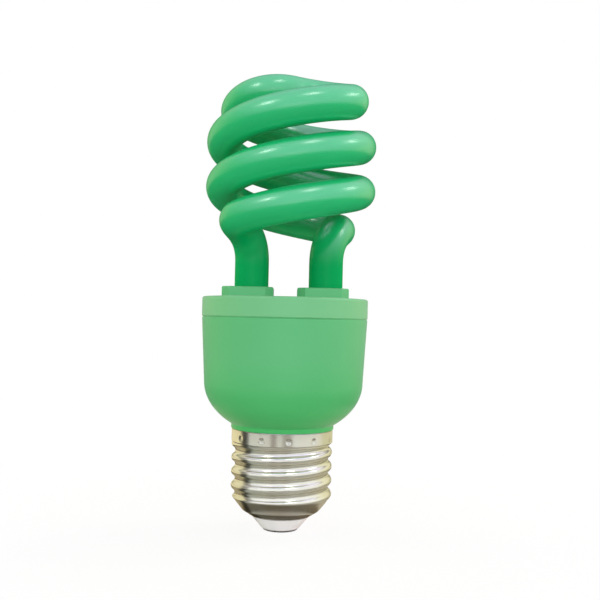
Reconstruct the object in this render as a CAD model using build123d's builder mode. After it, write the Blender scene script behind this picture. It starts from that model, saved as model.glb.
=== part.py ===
from build123d import *
import os
from math import acos, atan, cos, degrees, hypot, pi, radians, sin, sqrt

# Compact fluorescent bulb, in millimetres. The axis is Z, the centre contact's flat face is at
# z = 0, the screw cap is at the bottom and the twin-helix tube at the top. The tube's two legs
# stand along X. Two-fold parts repeat by half a turn about the tube's axis.

# Screw cap
cap_height = 26.4               # from the contact's flat face to the shell's upper rim
shell_wall = 0.35
thread_crest_diameter = 26.3
thread_depth = 1.0
thread_pitch = 3.63
thread_crest_height = 9.5       # height of the lowest whole crest on the +X side
thread_root_lift = 0.05         # the turned root stands this far above the root arcs' lowest line
thread_foot = 0.5               # how far the helical ridge reaches into the turned root
band_step = 0.05                # the plain band above the thread stands out past the crests
band_height = 3.4
cone_top_height = 7.75          # where the thread's root meets the cap's lower cone
shoulder_inset = 1.95           # steep cone, from the thread's root in to the shallow one
shoulder_height = 5.3
hole_inset = 2.4                # shallow cone, in to the hole round the insulator
hole_height = 3.75
crimp_count = 12
crimp_turn = 7.5                # of the first crimp, from +X
crimp_depth = 0.25
crimp_radius = 0.9
crimp_drop = 2.0                # crimps below the shell's rim

# Centre contact and its insulator
contact_head_diameter = 9.2
contact_head_height = 0.55
contact_edge = 0.3
contact_shank_diameter = 2.2
contact_shank_height = 8.4
contact_play = 0.05
insulator_foot_rim = 0.4        # insulator's foot outside the contact's head
insulator_play = 0.05
insulator_flange = 0.9          # how far the inner flange reaches past the shell's hole
insulator_top_height = 6.6

# Ballast housing
housing_wall = 1.5
seam_diameter = 43.3
wall_height = 16.7              # from the bowl's top to the seam
wall_taper = 0.9                # the bowl's top is this much smaller in radius than the seam
bowl_depth = 14.3               # half-height of the elliptical bowl
lip_height = 1.08               # upright lip between the shell's rim and the bowl
lip_overhang = 0.2
neck_wall = 1.35
neck_depth = 3.0                # how far the neck reaches into the shell
neck_play = 0.1
seam_groove = 0.25
board_rib_count = 6
board_rib_width = 1.5
board_rib_reach = 1.2
board_rib_length = 7.0
board_rib_turn = 30.0           # of the first rib, from +X
wire_slot_width = 1.4
wire_slot_wall = 0.8            # plastic left outside the slot, above the shell's rim
wire_notch_height = 2.55        # through the neck's wall, up from its lower end
cut_extra = 1.0                 # a cut reaches this far past what it cuts

# Tube cover
cover_side_height = 5.2
cover_overhang = 0.05           # past the housing's seam
cover_top = 1.6
cover_edge = 0.6
finger_count = 4                # snap fingers inside the housing's rim
finger_turn = 45.0              # of the first finger, from +X
finger_depth = 3.0
finger_width = 7.0
finger_wall = 1.2
finger_play = 0.1
hook_reach = 0.6
hook_height = 1.2
hook_play = 0.15
hook_taper = 15.0
pad_width = 13.3
pad_height = 2.7
pad_chamfer = 2.0
pad_spacing = 19.5              # between the two legs' sockets
pad_edge = 0.4
socket_wall = 1.1
socket_depth = 4.0              # how far each socket reaches below the cover's top plate
cement_room = 1.45              # radial room for the cement round a leg
cement_depth = 2.4

# Discharge tube
tube_diameter = 8.9
coil_radius = 17.8              # of the tube's centreline
coil_turn_height = 23.5         # rise of one strand in a turn
coil_start_angle = 48.8         # where a strand leaves its leg's bend, from +X
coil_end_angle = 499.9          # where it leaves the helix for the bridge
bridge_rise = 5.0               # from there up to the bridge over the axis
bridge_angle = 35.3             # direction of the bridge as it crosses the axis
bridge_ease = 7.4               # Bezier handles of the bridge's half, at the helix and at the axis
bridge_reach = 12.8
bend_ease = 6.5                 # Bezier handles of a leg's bend, at the helix and at the leg
bend_reach = 10.4
leg_rise = 6.55                 # straight part of a leg above its pad
leg_bend_height = 10.6          # from there up to the helix
leg_board_gap = 4.0             # between the leg's end and the board
leg_end_chamfer = 1.5
leg_play = 0.3                  # radial room round a leg in its pad
tube_shift = 0.8                # the glass was cemented off the cover's middle, towards +X
exhaust_diameter = 2.4
exhaust_length = 2.8
filament_wire_diameter = 0.5
filament_wire_spacing = 4.2
filament_wire_drop = 1.7

# Circuit board, with the places of its parts seen from above
board_thickness = 1.6
board_play = 0.3
pin_diameter = 0.6
pin_play = 0.1
pin_stub = 1.0                  # how far a pin stands out of the board
post_width = 0.8
post_height = 5.6
post_stub = 1.0
post_places = [(14.5, 5.8), (14.5, -5.8), (-14.5, 5.8), (-14.5, -5.8)]
lead_wire_diameter = 0.7
lead_bend = 2.0
live_lead_place = (-1.2, 0.0)
live_bend_high = 6.0            # the lead moves onto the axis between these heights over the shank
live_bend_low = 3.0
live_bend = 4.0
shell_lead_place = (-1.2, 6.5)
shell_lead_angle = 100.0        # where it leaves the neck, from +X
shell_lead_turn = 7.0           # the lead turns outward this far above the shell's rim
shell_lead_dive = 3.0           # and goes down the slot from this far above it

# Choke, hanging under the board
choke_place = (-9.0, 0.0)
core_width = 14.0
core_thickness = 5.0
core_height = 12.4              # both E halves
core_yoke = 2.0
core_side_leg = 2.0
core_middle_leg = 4.0
choke_top_gap = 1.0             # between the core and the board
choke_floor_gap = 1.35          # between the core's outer corners and the bowl
bobbin_wall = 0.6
bobbin_play = 0.1
bobbin_depth = 10.8             # across the core's flat sides
bobbin_block = 2.7              # thickness of the pin blocks
winding_margin = 0.4            # winding inside the bobbin's flanges
winding_corner = 1.5
choke_pin_spacing = 6.0

# Capacitors
can_bore_gap = 0.6              # between the can and the neck's bore
can_diameter = 10.0
can_length = 19.0
can_edge = 0.8
can_groove = 0.5
can_groove_drop = 2.2
can_pin_spacing = 5.0
film_pin_spacing = 5.0
film_corner_share = 0.35              # upright and lower edges' rounding, as shares of the thickness
film_edge_share = 0.25
resonant_place = (5.2, 11.2)
resonant_size = (7.5, 4.0, 9.0)
coupling_place = (4.8, -11.2)
coupling_size = (6.0, 3.2, 7.0)

# Transistors, diodes and resistors
transistor_places = [(-1.3, 11.5), (-1.3, -11.5)]
transistor_diameter = 4.8
transistor_flat = 1.3           # the flat face lies this far from the middle
transistor_height = 5.0
transistor_leg = 2.2
transistor_pin_spacing = 1.27
diode_places = [(-8.5, 9.6), (-8.5, 12.8), (-8.5, -9.6), (-8.5, -12.8)]
diode_diameter = 2.7
diode_length = 5.2
diode_pin_spacing = 8.4
resistor_places = [(0.3, 6.0), (0.3, -6.0), (0.0, 16.2), (0.0, -16.2)]
resistor_diameter = 2.3
resistor_length = 6.0
resistor_pin_spacing = 9.0
diac_place = (0.3, 0.0)
diac_diameter = 1.8
diac_length = 3.8
diac_pin_spacing = 6.5
lying_gap = 0.2                 # between a lying part and the board
fuse_place = (12.0, 9.5)
fuse_diameter = 3.2
fuse_length = 8.0
fuse_pin_spacing = 2.8
fuse_gap = 0.8
thermistor_place = (-16.3, 0.0)
thermistor_diameter = 6.0
thermistor_thickness = 2.2
thermistor_gap = 0.6
thermistor_pin_spacing = 5.0

# Toroid transformer and filter inductor
toroid_can_gap = 0.7            # between the windings and the can
toroid_diameter = 9.5
toroid_bore = 5.0
toroid_thickness = 4.0
toroid_wire_diameter = 0.5
toroid_wire_angles = [200.0, 270.0, 340.0]
toroid_turns = 3
toroid_turn_angle = 15.0
toroid_wire_bend = 0.3
inductor_place = (12.0, -9.0)
inductor_diameter = 6.5
inductor_height = 8.0
inductor_flange = 1.0
inductor_waist = 3.0
inductor_wire_depth = 0.4       # winding below the flanges' rim
inductor_pin_spacing = 4.0

os.makedirs("parts", exist_ok=True)

# Radii and heights that follow from the sizes above, from the cap upwards
crest_radius = thread_crest_diameter / 2
root_radius = crest_radius - thread_depth
band_radius = crest_radius + band_step
shoulder_radius = root_radius - shoulder_inset
hole_radius = shoulder_radius - hole_inset
lip_radius = band_radius + lip_overhang
neck_radius = band_radius - shell_wall - neck_play
bore_radius = neck_radius - neck_wall
neck_low = cap_height - neck_depth

seam_radius = seam_diameter / 2
bowl_radius = seam_radius - wall_taper
inner_seam_radius = seam_radius - housing_wall
inner_bowl_radius = bowl_radius - housing_wall
inner_bowl_depth = bowl_depth - housing_wall


def bowl_share(radius, widest):
    """Share of its depth at which an elliptical bowl as wide as widest has this radius."""
    return sqrt(1 - (radius / widest) ** 2)


bowl_top_height = cap_height + lip_height + bowl_depth * bowl_share(lip_radius, bowl_radius)
seam_height = bowl_top_height + wall_height
cover_top_height = seam_height + cover_side_height
pad_top_height = cover_top_height + pad_height

choke_x, choke_y = choke_place
core_corner = hypot(abs(choke_x) + core_thickness / 2, core_width / 2)
choke_floor = bowl_top_height - inner_bowl_depth * bowl_share(core_corner, inner_bowl_radius)
board_height = choke_floor + choke_floor_gap + core_height + choke_top_gap
board_top = board_height + board_thickness
can_place = (bore_radius - can_bore_gap - can_diameter / 2, 0.0)
toroid_inner_face = can_place[0] + can_diameter / 2 + toroid_can_gap + toroid_wire_diameter
toroid_place = (toroid_inner_face + toroid_thickness / 2, 0.0)

leg_radius = tube_diameter / 2
leg_end_height = board_top + leg_board_gap
coil_start_height = pad_top_height + leg_rise + leg_bend_height
coil_top_height = coil_start_height + coil_turn_height * (coil_end_angle - coil_start_angle) / 360
bridge_height = coil_top_height + bridge_rise


def inset_corners(corners, inset):
    """Corners of an open outline moved sideways by inset, each run kept parallel to itself."""
    def moved(start, end):
        run_x, run_z = end[0] - start[0], end[1] - start[1]
        length = hypot(run_x, run_z)
        shift_x, shift_z = -run_z / length * inset, run_x / length * inset
        return (start[0] + shift_x, start[1] + shift_z), (run_x, run_z)

    runs = [moved(start, end) for start, end in zip(corners, corners[1:])]
    result = [runs[0][0]]
    for (first, along), (second, across) in zip(runs, runs[1:]):
        cross = along[0] * across[1] - along[1] * across[0]
        gap_x, gap_z = second[0] - first[0], second[1] - first[1]
        share = (gap_x * across[1] - gap_z * across[0]) / cross
        result.append((first[0] + along[0] * share, first[1] + along[1] * share))
    last, along = runs[-1]
    result.append((last[0] + along[0], last[1] + along[1]))
    return result


def cap_corners(inset):
    """Outline of the screw cap in the XZ plane, from its lower hole up to its rim."""
    band_low = cap_height - band_height
    outer = [
        (hole_radius, hole_height),
        (shoulder_radius, shoulder_height),
        (root_radius, cone_top_height),
        (root_radius, band_low - (band_radius - root_radius)),
        (band_radius, band_low),
        (band_radius, cap_height),
    ]
    return inset_corners(outer, inset)


# Knuckle thread: crest and root are arcs of one radius that meet at this angle
thread_angle = 2 * atan(2 * thread_depth / thread_pitch)
thread_arc = thread_pitch / 4 / sin(thread_angle)


def thread_ridge(inset):
    """The helical ridge, its profile inset by a distance. It runs from below the cone into the band."""
    crest_arc, root_arc = thread_arc - inset, thread_arc + inset
    crest_middle = crest_radius - thread_arc
    root_middle = root_radius + thread_arc
    foot = root_radius - inset - thread_foot
    wide = degrees(thread_angle)
    narrow = degrees(acos(1 - thread_root_lift / 4 / root_arc))
    start_height = thread_crest_height - thread_pitch
    end_height = cap_height - band_height / 2
    with BuildPart() as ridge:
        with BuildLine():
            Helix(thread_pitch, end_height - start_height, root_radius, center=(0, 0, start_height))
        with BuildSketch(Plane(origin=(0, 0, start_height), x_dir=(1, 0, 0), z_dir=(0, -1, 0))):
            with BuildLine():
                lower_root = (root_middle, -thread_pitch / 2)
                upper_root = (root_middle, thread_pitch / 2)
                lower = CenterArc(lower_root, root_arc, 180 - wide, wide - narrow)
                CenterArc((crest_middle, 0), crest_arc, -wide, 2 * wide)
                upper = CenterArc(upper_root, root_arc, 180 + narrow, wide - narrow)
                Polyline(upper @ 0, (foot, (upper @ 0).Y), (foot, (lower @ 1).Y), lower @ 1)
            make_face()
        sweep(is_frenet=True)
    return ridge.part


def threaded_form(inset):
    """The cap as a solid form, inset by a distance: a turned body with the helical ridge on it."""
    corners = cap_corners(inset)
    core_radius = root_radius - inset + thread_root_lift
    reach = thread_pitch
    with BuildPart() as form:
        with BuildSketch(Plane.XY):
            Circle(core_radius)
        extrude(amount=cap_height + thread_pitch)
        add(thread_ridge(inset))
        with BuildSketch(Plane.XZ):
            with BuildLine():
                Polyline(
                    (0, corners[3][1]),
                    *corners[3:5],
                    (corners[5][0], cap_height + thread_pitch),
                    (0, cap_height + thread_pitch),
                    close=True,
                )
            make_face()
        revolve()
        with BuildSketch(Plane.XZ):
            with BuildLine():
                Polyline(
                    (0, corners[0][1]),
                    *corners[:3],
                    (corners[2][0] + reach, corners[2][1] + reach),
                    (corners[2][0] + reach, cap_height),
                    (0, cap_height),
                    close=True,
                )
            make_face()
        revolve(mode=Mode.INTERSECT)
    return form.part


# Screw shell: thin rolled metal with a knuckle thread, crimped to the neck
with BuildPart() as screw_shell:
    add(threaded_form(0))
    add(threaded_form(shell_wall), mode=Mode.SUBTRACT)
    with BuildSketch(Plane.XY):
        Circle(hole_radius)
    extrude(amount=cone_top_height, mode=Mode.SUBTRACT)
    with PolarLocations(band_radius + crimp_radius - crimp_depth, crimp_count, start_angle=crimp_turn):
        with Locations((0, 0, cap_height - crimp_drop)):
            Sphere(crimp_radius, mode=Mode.SUBTRACT)
screw_shell.part.label = "screw_shell"
export_step(screw_shell.part, "parts/screw_shell.step")


# Tip insulator: a cone below the shell, a waist through its hole and a flange seated on its inside
seat_low, seat_high = cap_corners(shell_wall)[:2]
seat_slope = (seat_high[1] - seat_low[1]) / (seat_high[0] - seat_low[0])
foot_radius = contact_head_diameter / 2 + insulator_foot_rim
waist_radius = hole_radius - insulator_play
flange_radius = hole_radius + insulator_flange


def seat_height(radius):
    """Height of the shell's inner cone at a radius."""
    return seat_low[1] + (radius - seat_low[0]) * seat_slope


with BuildPart() as tip_insulator:
    with BuildSketch(Plane.XZ):
        with BuildLine():
            Polyline(
                (0, contact_head_height),
                (foot_radius, contact_head_height),
                (waist_radius, hole_height),
                (waist_radius, seat_height(waist_radius)),
                (flange_radius, seat_height(flange_radius)),
                (flange_radius, insulator_top_height),
                (0, insulator_top_height),
                close=True,
            )
        make_face()
    revolve()
    with BuildSketch(Plane.XY):
        Circle(contact_shank_diameter / 2 + contact_play)
    extrude(amount=insulator_top_height, mode=Mode.SUBTRACT)
tip_insulator.part.label = "tip_insulator"
export_step(tip_insulator.part, "parts/tip_insulator.step")


# Centre contact: a flat head below the insulator and a shank through it
with BuildPart() as centre_contact:
    with BuildSketch(Plane.XY):
        Circle(contact_head_diameter / 2)
    extrude(amount=contact_head_height)
    fillet(centre_contact.edges().sort_by(Axis.Z)[0], contact_edge)
    with BuildSketch(Plane.XY.offset(contact_head_height)):
        Circle(contact_shank_diameter / 2)
    extrude(amount=contact_shank_height - contact_head_height)
centre_contact.part.label = "centre_contact"
export_step(centre_contact.part, "parts/centre_contact.step")


# Ballast housing: a moulded bowl, its neck inside the shell's band
def housing_inside(height):
    """Radius of the housing's inner wall at a height between the bowl's top and the seam."""
    share = (height - bowl_top_height) / (seam_height - bowl_top_height)
    return inner_bowl_radius + (inner_seam_radius - inner_bowl_radius) * share


lip_angle = degrees(acos(lip_radius / bowl_radius))
bore_angle = degrees(acos(bore_radius / inner_bowl_radius))
with BuildPart() as ballast_housing:
    with BuildSketch(Plane.XZ):
        with BuildLine():
            bowl_centre = (0, bowl_top_height)
            outside = EllipticalCenterArc(
                bowl_centre, bowl_radius, bowl_depth, -lip_angle, arc_size=lip_angle
            )
            inside = EllipticalCenterArc(
                bowl_centre, inner_bowl_radius, inner_bowl_depth, -bore_angle, arc_size=bore_angle
            )
            Polyline(
                outside @ 1,
                (seam_radius, seam_height - seam_groove),
                (seam_radius - seam_groove, seam_height),
                (inner_seam_radius, seam_height),
                inside @ 1,
            )
            Polyline(
                inside @ 0,
                (bore_radius, neck_low),
                (neck_radius, neck_low),
                (neck_radius, cap_height),
                (lip_radius, cap_height),
                outside @ 0,
            )
        make_face()
    revolve()
    with BuildSketch(Plane.XY.offset(board_height - board_rib_length)):
        rib_reach = housing_inside(board_height) - board_rib_reach
        rib_depth = board_rib_reach + housing_wall / 2
        with PolarLocations(rib_reach + rib_depth / 2, board_rib_count, start_angle=board_rib_turn):
            Rectangle(rib_depth, board_rib_width)
    extrude(amount=board_rib_length)
    with BuildSketch(Plane.XY.offset(seam_height - finger_depth - hook_play)):
        window_reach = inner_seam_radius - finger_play + hook_reach + hook_play
        with PolarLocations(window_reach / 2, finger_count, start_angle=finger_turn):
            Rectangle(window_reach, finger_width + 2 * hook_play)
        Circle(window_reach, mode=Mode.INTERSECT)
        Circle(inner_seam_radius - 2 * finger_wall, mode=Mode.SUBTRACT)
    extrude(amount=hook_height + 2 * hook_play, mode=Mode.SUBTRACT)
    with BuildSketch(Plane.XY.offset(neck_low)):
        slot_reach = lip_radius - wire_slot_wall
        with PolarLocations((bore_radius + slot_reach) / 2, 1, start_angle=shell_lead_angle):
            Rectangle(slot_reach - bore_radius + cut_extra, wire_slot_width)
        Circle(slot_reach, mode=Mode.INTERSECT)
    extrude(amount=bowl_top_height - neck_low - inner_bowl_depth / 2, mode=Mode.SUBTRACT)
    with BuildSketch(Plane.XY.offset(neck_low)):
        with PolarLocations(neck_radius, 1, start_angle=shell_lead_angle):
            Rectangle(2 * (neck_radius - bore_radius), wire_slot_width)
    extrude(amount=wire_notch_height, mode=Mode.SUBTRACT)
ballast_housing.part.label = "ballast_housing"
export_step(ballast_housing.part, "parts/ballast_housing.step")


# Tube cover: a collar with two raised leg sockets and snap fingers inside the housing's rim
cover_radius = seam_radius + cover_overhang
finger_outside = inner_seam_radius - finger_play
cover_under = cover_top_height - cover_top
pad_places = [(pad_spacing / 2, 0), (-pad_spacing / 2, 0)]
leg_places = [(tube_shift + pad_spacing / 2, 0), (tube_shift - pad_spacing / 2, 0)]
socket_low = cover_under - socket_depth
cup_radius = leg_radius + cement_room
with BuildPart() as tube_cover:
    with BuildSketch(Plane.XZ):
        with BuildLine():
            Polyline(
                (0, cover_top_height),
                (cover_radius, cover_top_height),
                (cover_radius, seam_height + seam_groove),
                (cover_radius - seam_groove, seam_height),
                (inner_seam_radius, seam_height),
                (inner_seam_radius, cover_under),
                (0, cover_under),
                close=True,
            )
        make_face()
    revolve()
    fillet(tube_cover.edges().filter_by(GeomType.CIRCLE).sort_by(Axis.Z)[-1], cover_edge)
    with BuildSketch(Plane.XY.offset(cover_under)):
        with PolarLocations(finger_outside, finger_count, start_angle=finger_turn):
            Rectangle(2 * finger_wall, finger_width)
        Circle(finger_outside, mode=Mode.INTERSECT)
        Circle(finger_outside - finger_wall, mode=Mode.SUBTRACT)
    extrude(amount=seam_height - finger_depth - cover_under)
    with BuildSketch(Plane.XY.offset(seam_height - finger_depth + hook_height)):
        with PolarLocations(finger_outside, finger_count, start_angle=finger_turn):
            Rectangle(2 * hook_reach + finger_wall, finger_width)
        Circle(finger_outside + hook_reach, mode=Mode.INTERSECT)
        Circle(finger_outside - finger_wall / 2, mode=Mode.SUBTRACT)
    extrude(amount=-hook_height, taper=hook_taper)
    with BuildSketch(Plane.XY.offset(cover_top_height)) as pad_outline:
        with Locations(*pad_places):
            Rectangle(pad_width, pad_width)
        chamfer(pad_outline.vertices(), pad_chamfer)
    extrude(amount=pad_height)
    fillet(tube_cover.edges().group_by(Axis.Z)[-1], pad_edge)
    with BuildSketch(Plane.XY.offset(socket_low)):
        with Locations(*leg_places):
            Circle(cup_radius + socket_wall)
    extrude(amount=socket_depth)
    with BuildSketch(Plane.XY.offset(socket_low)):
        with Locations(*leg_places):
            Circle(leg_radius + leg_play)
    extrude(amount=pad_top_height - socket_low, mode=Mode.SUBTRACT)
    with BuildSketch(Plane.XY.offset(socket_low)):
        with Locations(*leg_places):
            Circle(cup_radius)
    extrude(amount=cement_depth, mode=Mode.SUBTRACT)
tube_cover.part.label = "tube_cover"
export_step(tube_cover.part, "parts/tube_cover.step")


# Tube cement: a bead round each leg, in the cup of its socket
with BuildPart() as tube_cement:
    with BuildSketch(Plane.XY.offset(socket_low)):
        with Locations(*leg_places):
            Circle(cup_radius)
            Circle(leg_radius, mode=Mode.SUBTRACT)
    extrude(amount=cement_depth)
tube_cement.part.label = "tube_cement"
export_step(tube_cement.part, "parts/tube_cement.step")


# Discharge tube: two strands, each a leg, a bend, a helix and half of the bridge
def tube_strand():
    """One strand about the tube's axis, turned so that its helix starts on +X."""
    turn = radians(coil_end_angle - coil_start_angle)
    slope = coil_turn_height / (2 * pi)
    speed = hypot(coil_radius, slope)
    leg_angle = radians(-coil_start_angle)
    leg = Vector(pad_spacing / 2 * cos(leg_angle), pad_spacing / 2 * sin(leg_angle), 0)
    leg_top = leg + Vector(0, 0, coil_start_height - leg_bend_height)
    leg_low = leg + Vector(0, 0, leg_end_height)
    helix_start = Vector(coil_radius, 0, coil_start_height)
    start_way = Vector(0, coil_radius, slope) / speed
    helix_end = Vector(coil_radius * cos(turn), coil_radius * sin(turn), coil_top_height)
    end_way = Vector(-coil_radius * sin(turn), coil_radius * cos(turn), slope) / speed
    crossing = radians(bridge_angle - coil_start_angle)
    bridge_way = Vector(cos(crossing), sin(crossing), 0)
    bridge_middle = Vector(0, 0, bridge_height)
    with BuildPart() as strand:
        with BuildLine():
            Line(leg_low, leg_top)
            Bezier(
                leg_top,
                leg_top + Vector(0, 0, bend_reach),
                helix_start - start_way * bend_ease,
                helix_start,
            )
            coil_height = coil_top_height - coil_start_height
            Helix(coil_turn_height, coil_height, coil_radius, center=(0, 0, coil_start_height))
            Bezier(
                helix_end,
                helix_end + end_way * bridge_ease,
                bridge_middle - bridge_way * bridge_reach,
                bridge_middle,
            )
        with BuildSketch(Plane(origin=leg_low, z_dir=(0, 0, 1))):
            Circle(leg_radius)
        sweep()
        chamfer(strand.edges().sort_by(Axis.Z)[0], leg_end_chamfer)
        with BuildSketch(Plane(origin=leg_low, z_dir=(0, 0, -1))):
            Circle(exhaust_diameter / 2)
        extrude(amount=exhaust_length)
    return strand.part


with BuildPart() as discharge_tube:
    strand = tube_strand()
    with Locations(
        Location((tube_shift, 0, 0), (0, 0, coil_start_angle)),
        Location((tube_shift, 0, 0), (0, 0, coil_start_angle + 180)),
    ):
        add(strand)
discharge_tube.part.label = "discharge_tube"
export_step(discharge_tube.part, "parts/discharge_tube.step")


# Wire posts: square pins through the board
with BuildPart() as wire_posts:
    with BuildSketch(Plane.XY.offset(board_height - post_stub)):
        with Locations(*post_places):
            Rectangle(post_width, post_width)
    extrude(amount=post_stub + board_thickness + post_height)
wire_posts.part.label = "wire_posts"
export_step(wire_posts.part, "parts/wire_posts.step")


# Filament leads: from each leg's end out to a post's inner face
with BuildPart() as filament_leads:
    for post_x, post_y in post_places:
        side = 1 if post_x > 0 else -1
        lead_x = tube_shift + side * pad_spacing / 2
        lead_y = filament_wire_spacing / 2 if post_y > 0 else -filament_wire_spacing / 2
        lead_z = leg_end_height - filament_wire_drop
        with BuildLine() as route:
            FilletPolyline(
                (lead_x, lead_y, leg_end_height),
                (lead_x, lead_y, lead_z),
                (lead_x, post_y, lead_z),
                (post_x - side * post_width / 2, post_y, lead_z),
                radius=2 * filament_wire_diameter,
            )
        with BuildSketch(Plane(origin=(lead_x, lead_y, leg_end_height), z_dir=(0, 0, -1))):
            Circle(filament_wire_diameter / 2)
        sweep(path=route.line)
filament_leads.part.label = "filament_leads"
export_step(filament_leads.part, "parts/filament_leads.step")


# Choke: two ferrite E halves, a bobbin with four pins and its winding
core_high = board_height - choke_top_gap
core_middle = core_high - core_height / 2
core_low = core_high - core_height
window_high = core_high - core_yoke
window_low = core_low + core_yoke
window_outside = core_width / 2 - core_side_leg


def core_half(yoke_end):
    """One E half: its yoke at the given height and its three legs down or up to the middle."""
    way = 1 if yoke_end > core_middle else -1
    with BuildPart() as half:
        with BuildSketch(Plane.XY.offset(core_middle)):
            with Locations(choke_place):
                Rectangle(core_thickness, core_width)
        extrude(amount=way * core_height / 2)
        with BuildSketch(Plane.XY.offset(core_middle)):
            with Locations(choke_place):
                Rectangle(core_thickness, 2 * window_outside)
                Rectangle(core_thickness, core_middle_leg, mode=Mode.SUBTRACT)
        extrude(amount=way * (core_height / 2 - core_yoke), mode=Mode.SUBTRACT)
    return half.part


with BuildPart() as choke_core_upper:
    add(core_half(core_high))
choke_core_upper.part.label = "choke_core_upper"
export_step(choke_core_upper.part, "parts/choke_core_upper.step")

with BuildPart() as choke_core_lower:
    add(core_half(core_low))
choke_core_lower.part.label = "choke_core_lower"
export_step(choke_core_lower.part, "parts/choke_core_lower.step")

spool_x = core_thickness + 2 * (bobbin_play + bobbin_wall)
spool_y = core_middle_leg + 2 * (bobbin_play + bobbin_wall)
flange_y = 2 * (window_outside - bobbin_play)
block_x = bobbin_depth / 2 - bobbin_block / 2
choke_pins = [
    (choke_x + side_x * block_x, choke_y + side_y * choke_pin_spacing / 2)
    for side_x in (-1, 1)
    for side_y in (-1, 1)
]
with BuildPart() as choke_bobbin:
    with BuildSketch(Plane.XY.offset(window_low)):
        with Locations(choke_place):
            Rectangle(spool_x, spool_y)
    extrude(amount=window_high - window_low)
    with BuildSketch(Plane.XY.offset(window_low), Plane.XY.offset(window_high - bobbin_wall)):
        with Locations(choke_place):
            Rectangle(bobbin_depth, flange_y)
    extrude(amount=bobbin_wall)
    with BuildSketch(Plane.XY.offset(window_high - bobbin_wall)):
        with Locations((choke_x - block_x, choke_y), (choke_x + block_x, choke_y)):
            Rectangle(bobbin_block, flange_y)
    extrude(amount=board_height - window_high + bobbin_wall)
    with BuildSketch(Plane.XY.offset(window_low)):
        with Locations(choke_place):
            Rectangle(core_thickness + 2 * bobbin_play, core_middle_leg + 2 * bobbin_play)
    extrude(amount=window_high - window_low, mode=Mode.SUBTRACT)
    with BuildSketch(Plane.XY.offset(board_height)):
        with Locations(*choke_pins):
            Circle(pin_diameter / 2)
    extrude(amount=board_thickness + pin_stub)
choke_bobbin.part.label = "choke_bobbin"
export_step(choke_bobbin.part, "parts/choke_bobbin.step")

with BuildPart() as choke_winding:
    with BuildSketch(Plane.XY.offset(window_low + bobbin_wall)):
        with Locations(choke_place):
            RectangleRounded(bobbin_depth - 2 * winding_margin, flange_y - 2 * winding_margin, winding_corner)
            Rectangle(spool_x, spool_y, mode=Mode.SUBTRACT)
    extrude(amount=window_high - window_low - 2 * bobbin_wall)
choke_winding.part.label = "choke_winding"
export_step(choke_winding.part, "parts/choke_winding.step")


def spread_pins(place, spacing, way):
    """Two pin places, half the spacing each way from a place, along X or along Y."""
    step_x, step_y = (spacing / 2, 0) if way == "x" else (0, spacing / 2)
    return [(place[0] - step_x, place[1] - step_y), (place[0] + step_x, place[1] + step_y)]


def board_pins(places):
    """Sketch on the board's lower face that holds a round pin at each place."""
    with BuildSketch(Plane.XY.offset(board_height)) as pins:
        with Locations(*places):
            Circle(pin_diameter / 2)
    return pins.sketch


# Bulk capacitor: a rolled can that reaches down into the neck
can_pins = spread_pins(can_place, can_pin_spacing, "y")
with BuildPart() as bulk_capacitor:
    with BuildSketch(Plane.XY.offset(board_height)):
        with Locations(can_place):
            Circle(can_diameter / 2)
    extrude(amount=-can_length)
    fillet(bulk_capacitor.edges(), can_edge)
    with BuildSketch(Plane(origin=(*can_place, board_height - can_groove_drop), z_dir=(0, 0, 1))):
        Circle(can_diameter / 2)
        Circle(can_diameter / 2 - can_groove, mode=Mode.SUBTRACT)
    extrude(amount=-2 * can_groove, mode=Mode.SUBTRACT)
    extrude(board_pins(can_pins), amount=board_thickness + pin_stub)
bulk_capacitor.part.label = "bulk_capacitor"
export_step(bulk_capacitor.part, "parts/bulk_capacitor.step")


def film_capacitor(place, size):
    """A dipped film capacitor under the board, with two pins along X."""
    with BuildPart() as body:
        with BuildSketch(Plane.XY.offset(board_height)):
            with Locations(place):
                RectangleRounded(size[0], size[1], size[1] * film_corner_share)
        extrude(amount=-size[2])
        fillet(body.edges().group_by(Axis.Z)[0], size[1] * film_edge_share)
        extrude(board_pins(spread_pins(place, film_pin_spacing, "x")), amount=board_thickness + pin_stub)
    return body.part


with BuildPart() as resonant_capacitor:
    add(film_capacitor(resonant_place, resonant_size))
resonant_capacitor.part.label = "resonant_capacitor"
export_step(resonant_capacitor.part, "parts/resonant_capacitor.step")

with BuildPart() as coupling_capacitor:
    add(film_capacitor(coupling_place, coupling_size))
coupling_capacitor.part.label = "coupling_capacitor"
export_step(coupling_capacitor.part, "parts/coupling_capacitor.step")


# Transistors: round backs, a flat face towards the board's middle, three legs each
transistor_pins = [
    (x + step * transistor_pin_spacing, y) for x, y in transistor_places for step in (-1, 0, 1)
]
with BuildPart() as transistors:
    with BuildSketch(Plane.XY.offset(board_height - transistor_leg)):
        for x, y in transistor_places:
            inward = -1 if y > 0 else 1
            with Locations((x, y)):
                Circle(transistor_diameter / 2)
            with Locations((x, y + inward * (transistor_flat + transistor_diameter / 2))):
                Rectangle(transistor_diameter, transistor_diameter, mode=Mode.SUBTRACT)
    extrude(amount=-transistor_height)
    with BuildSketch(Plane.XY.offset(board_height - transistor_leg)):
        with Locations(*transistor_pins):
            Circle(pin_diameter / 2)
    extrude(amount=transistor_leg + board_thickness + pin_stub)
transistors.part.label = "transistors"
export_step(transistors.part, "parts/transistors.step")


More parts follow.
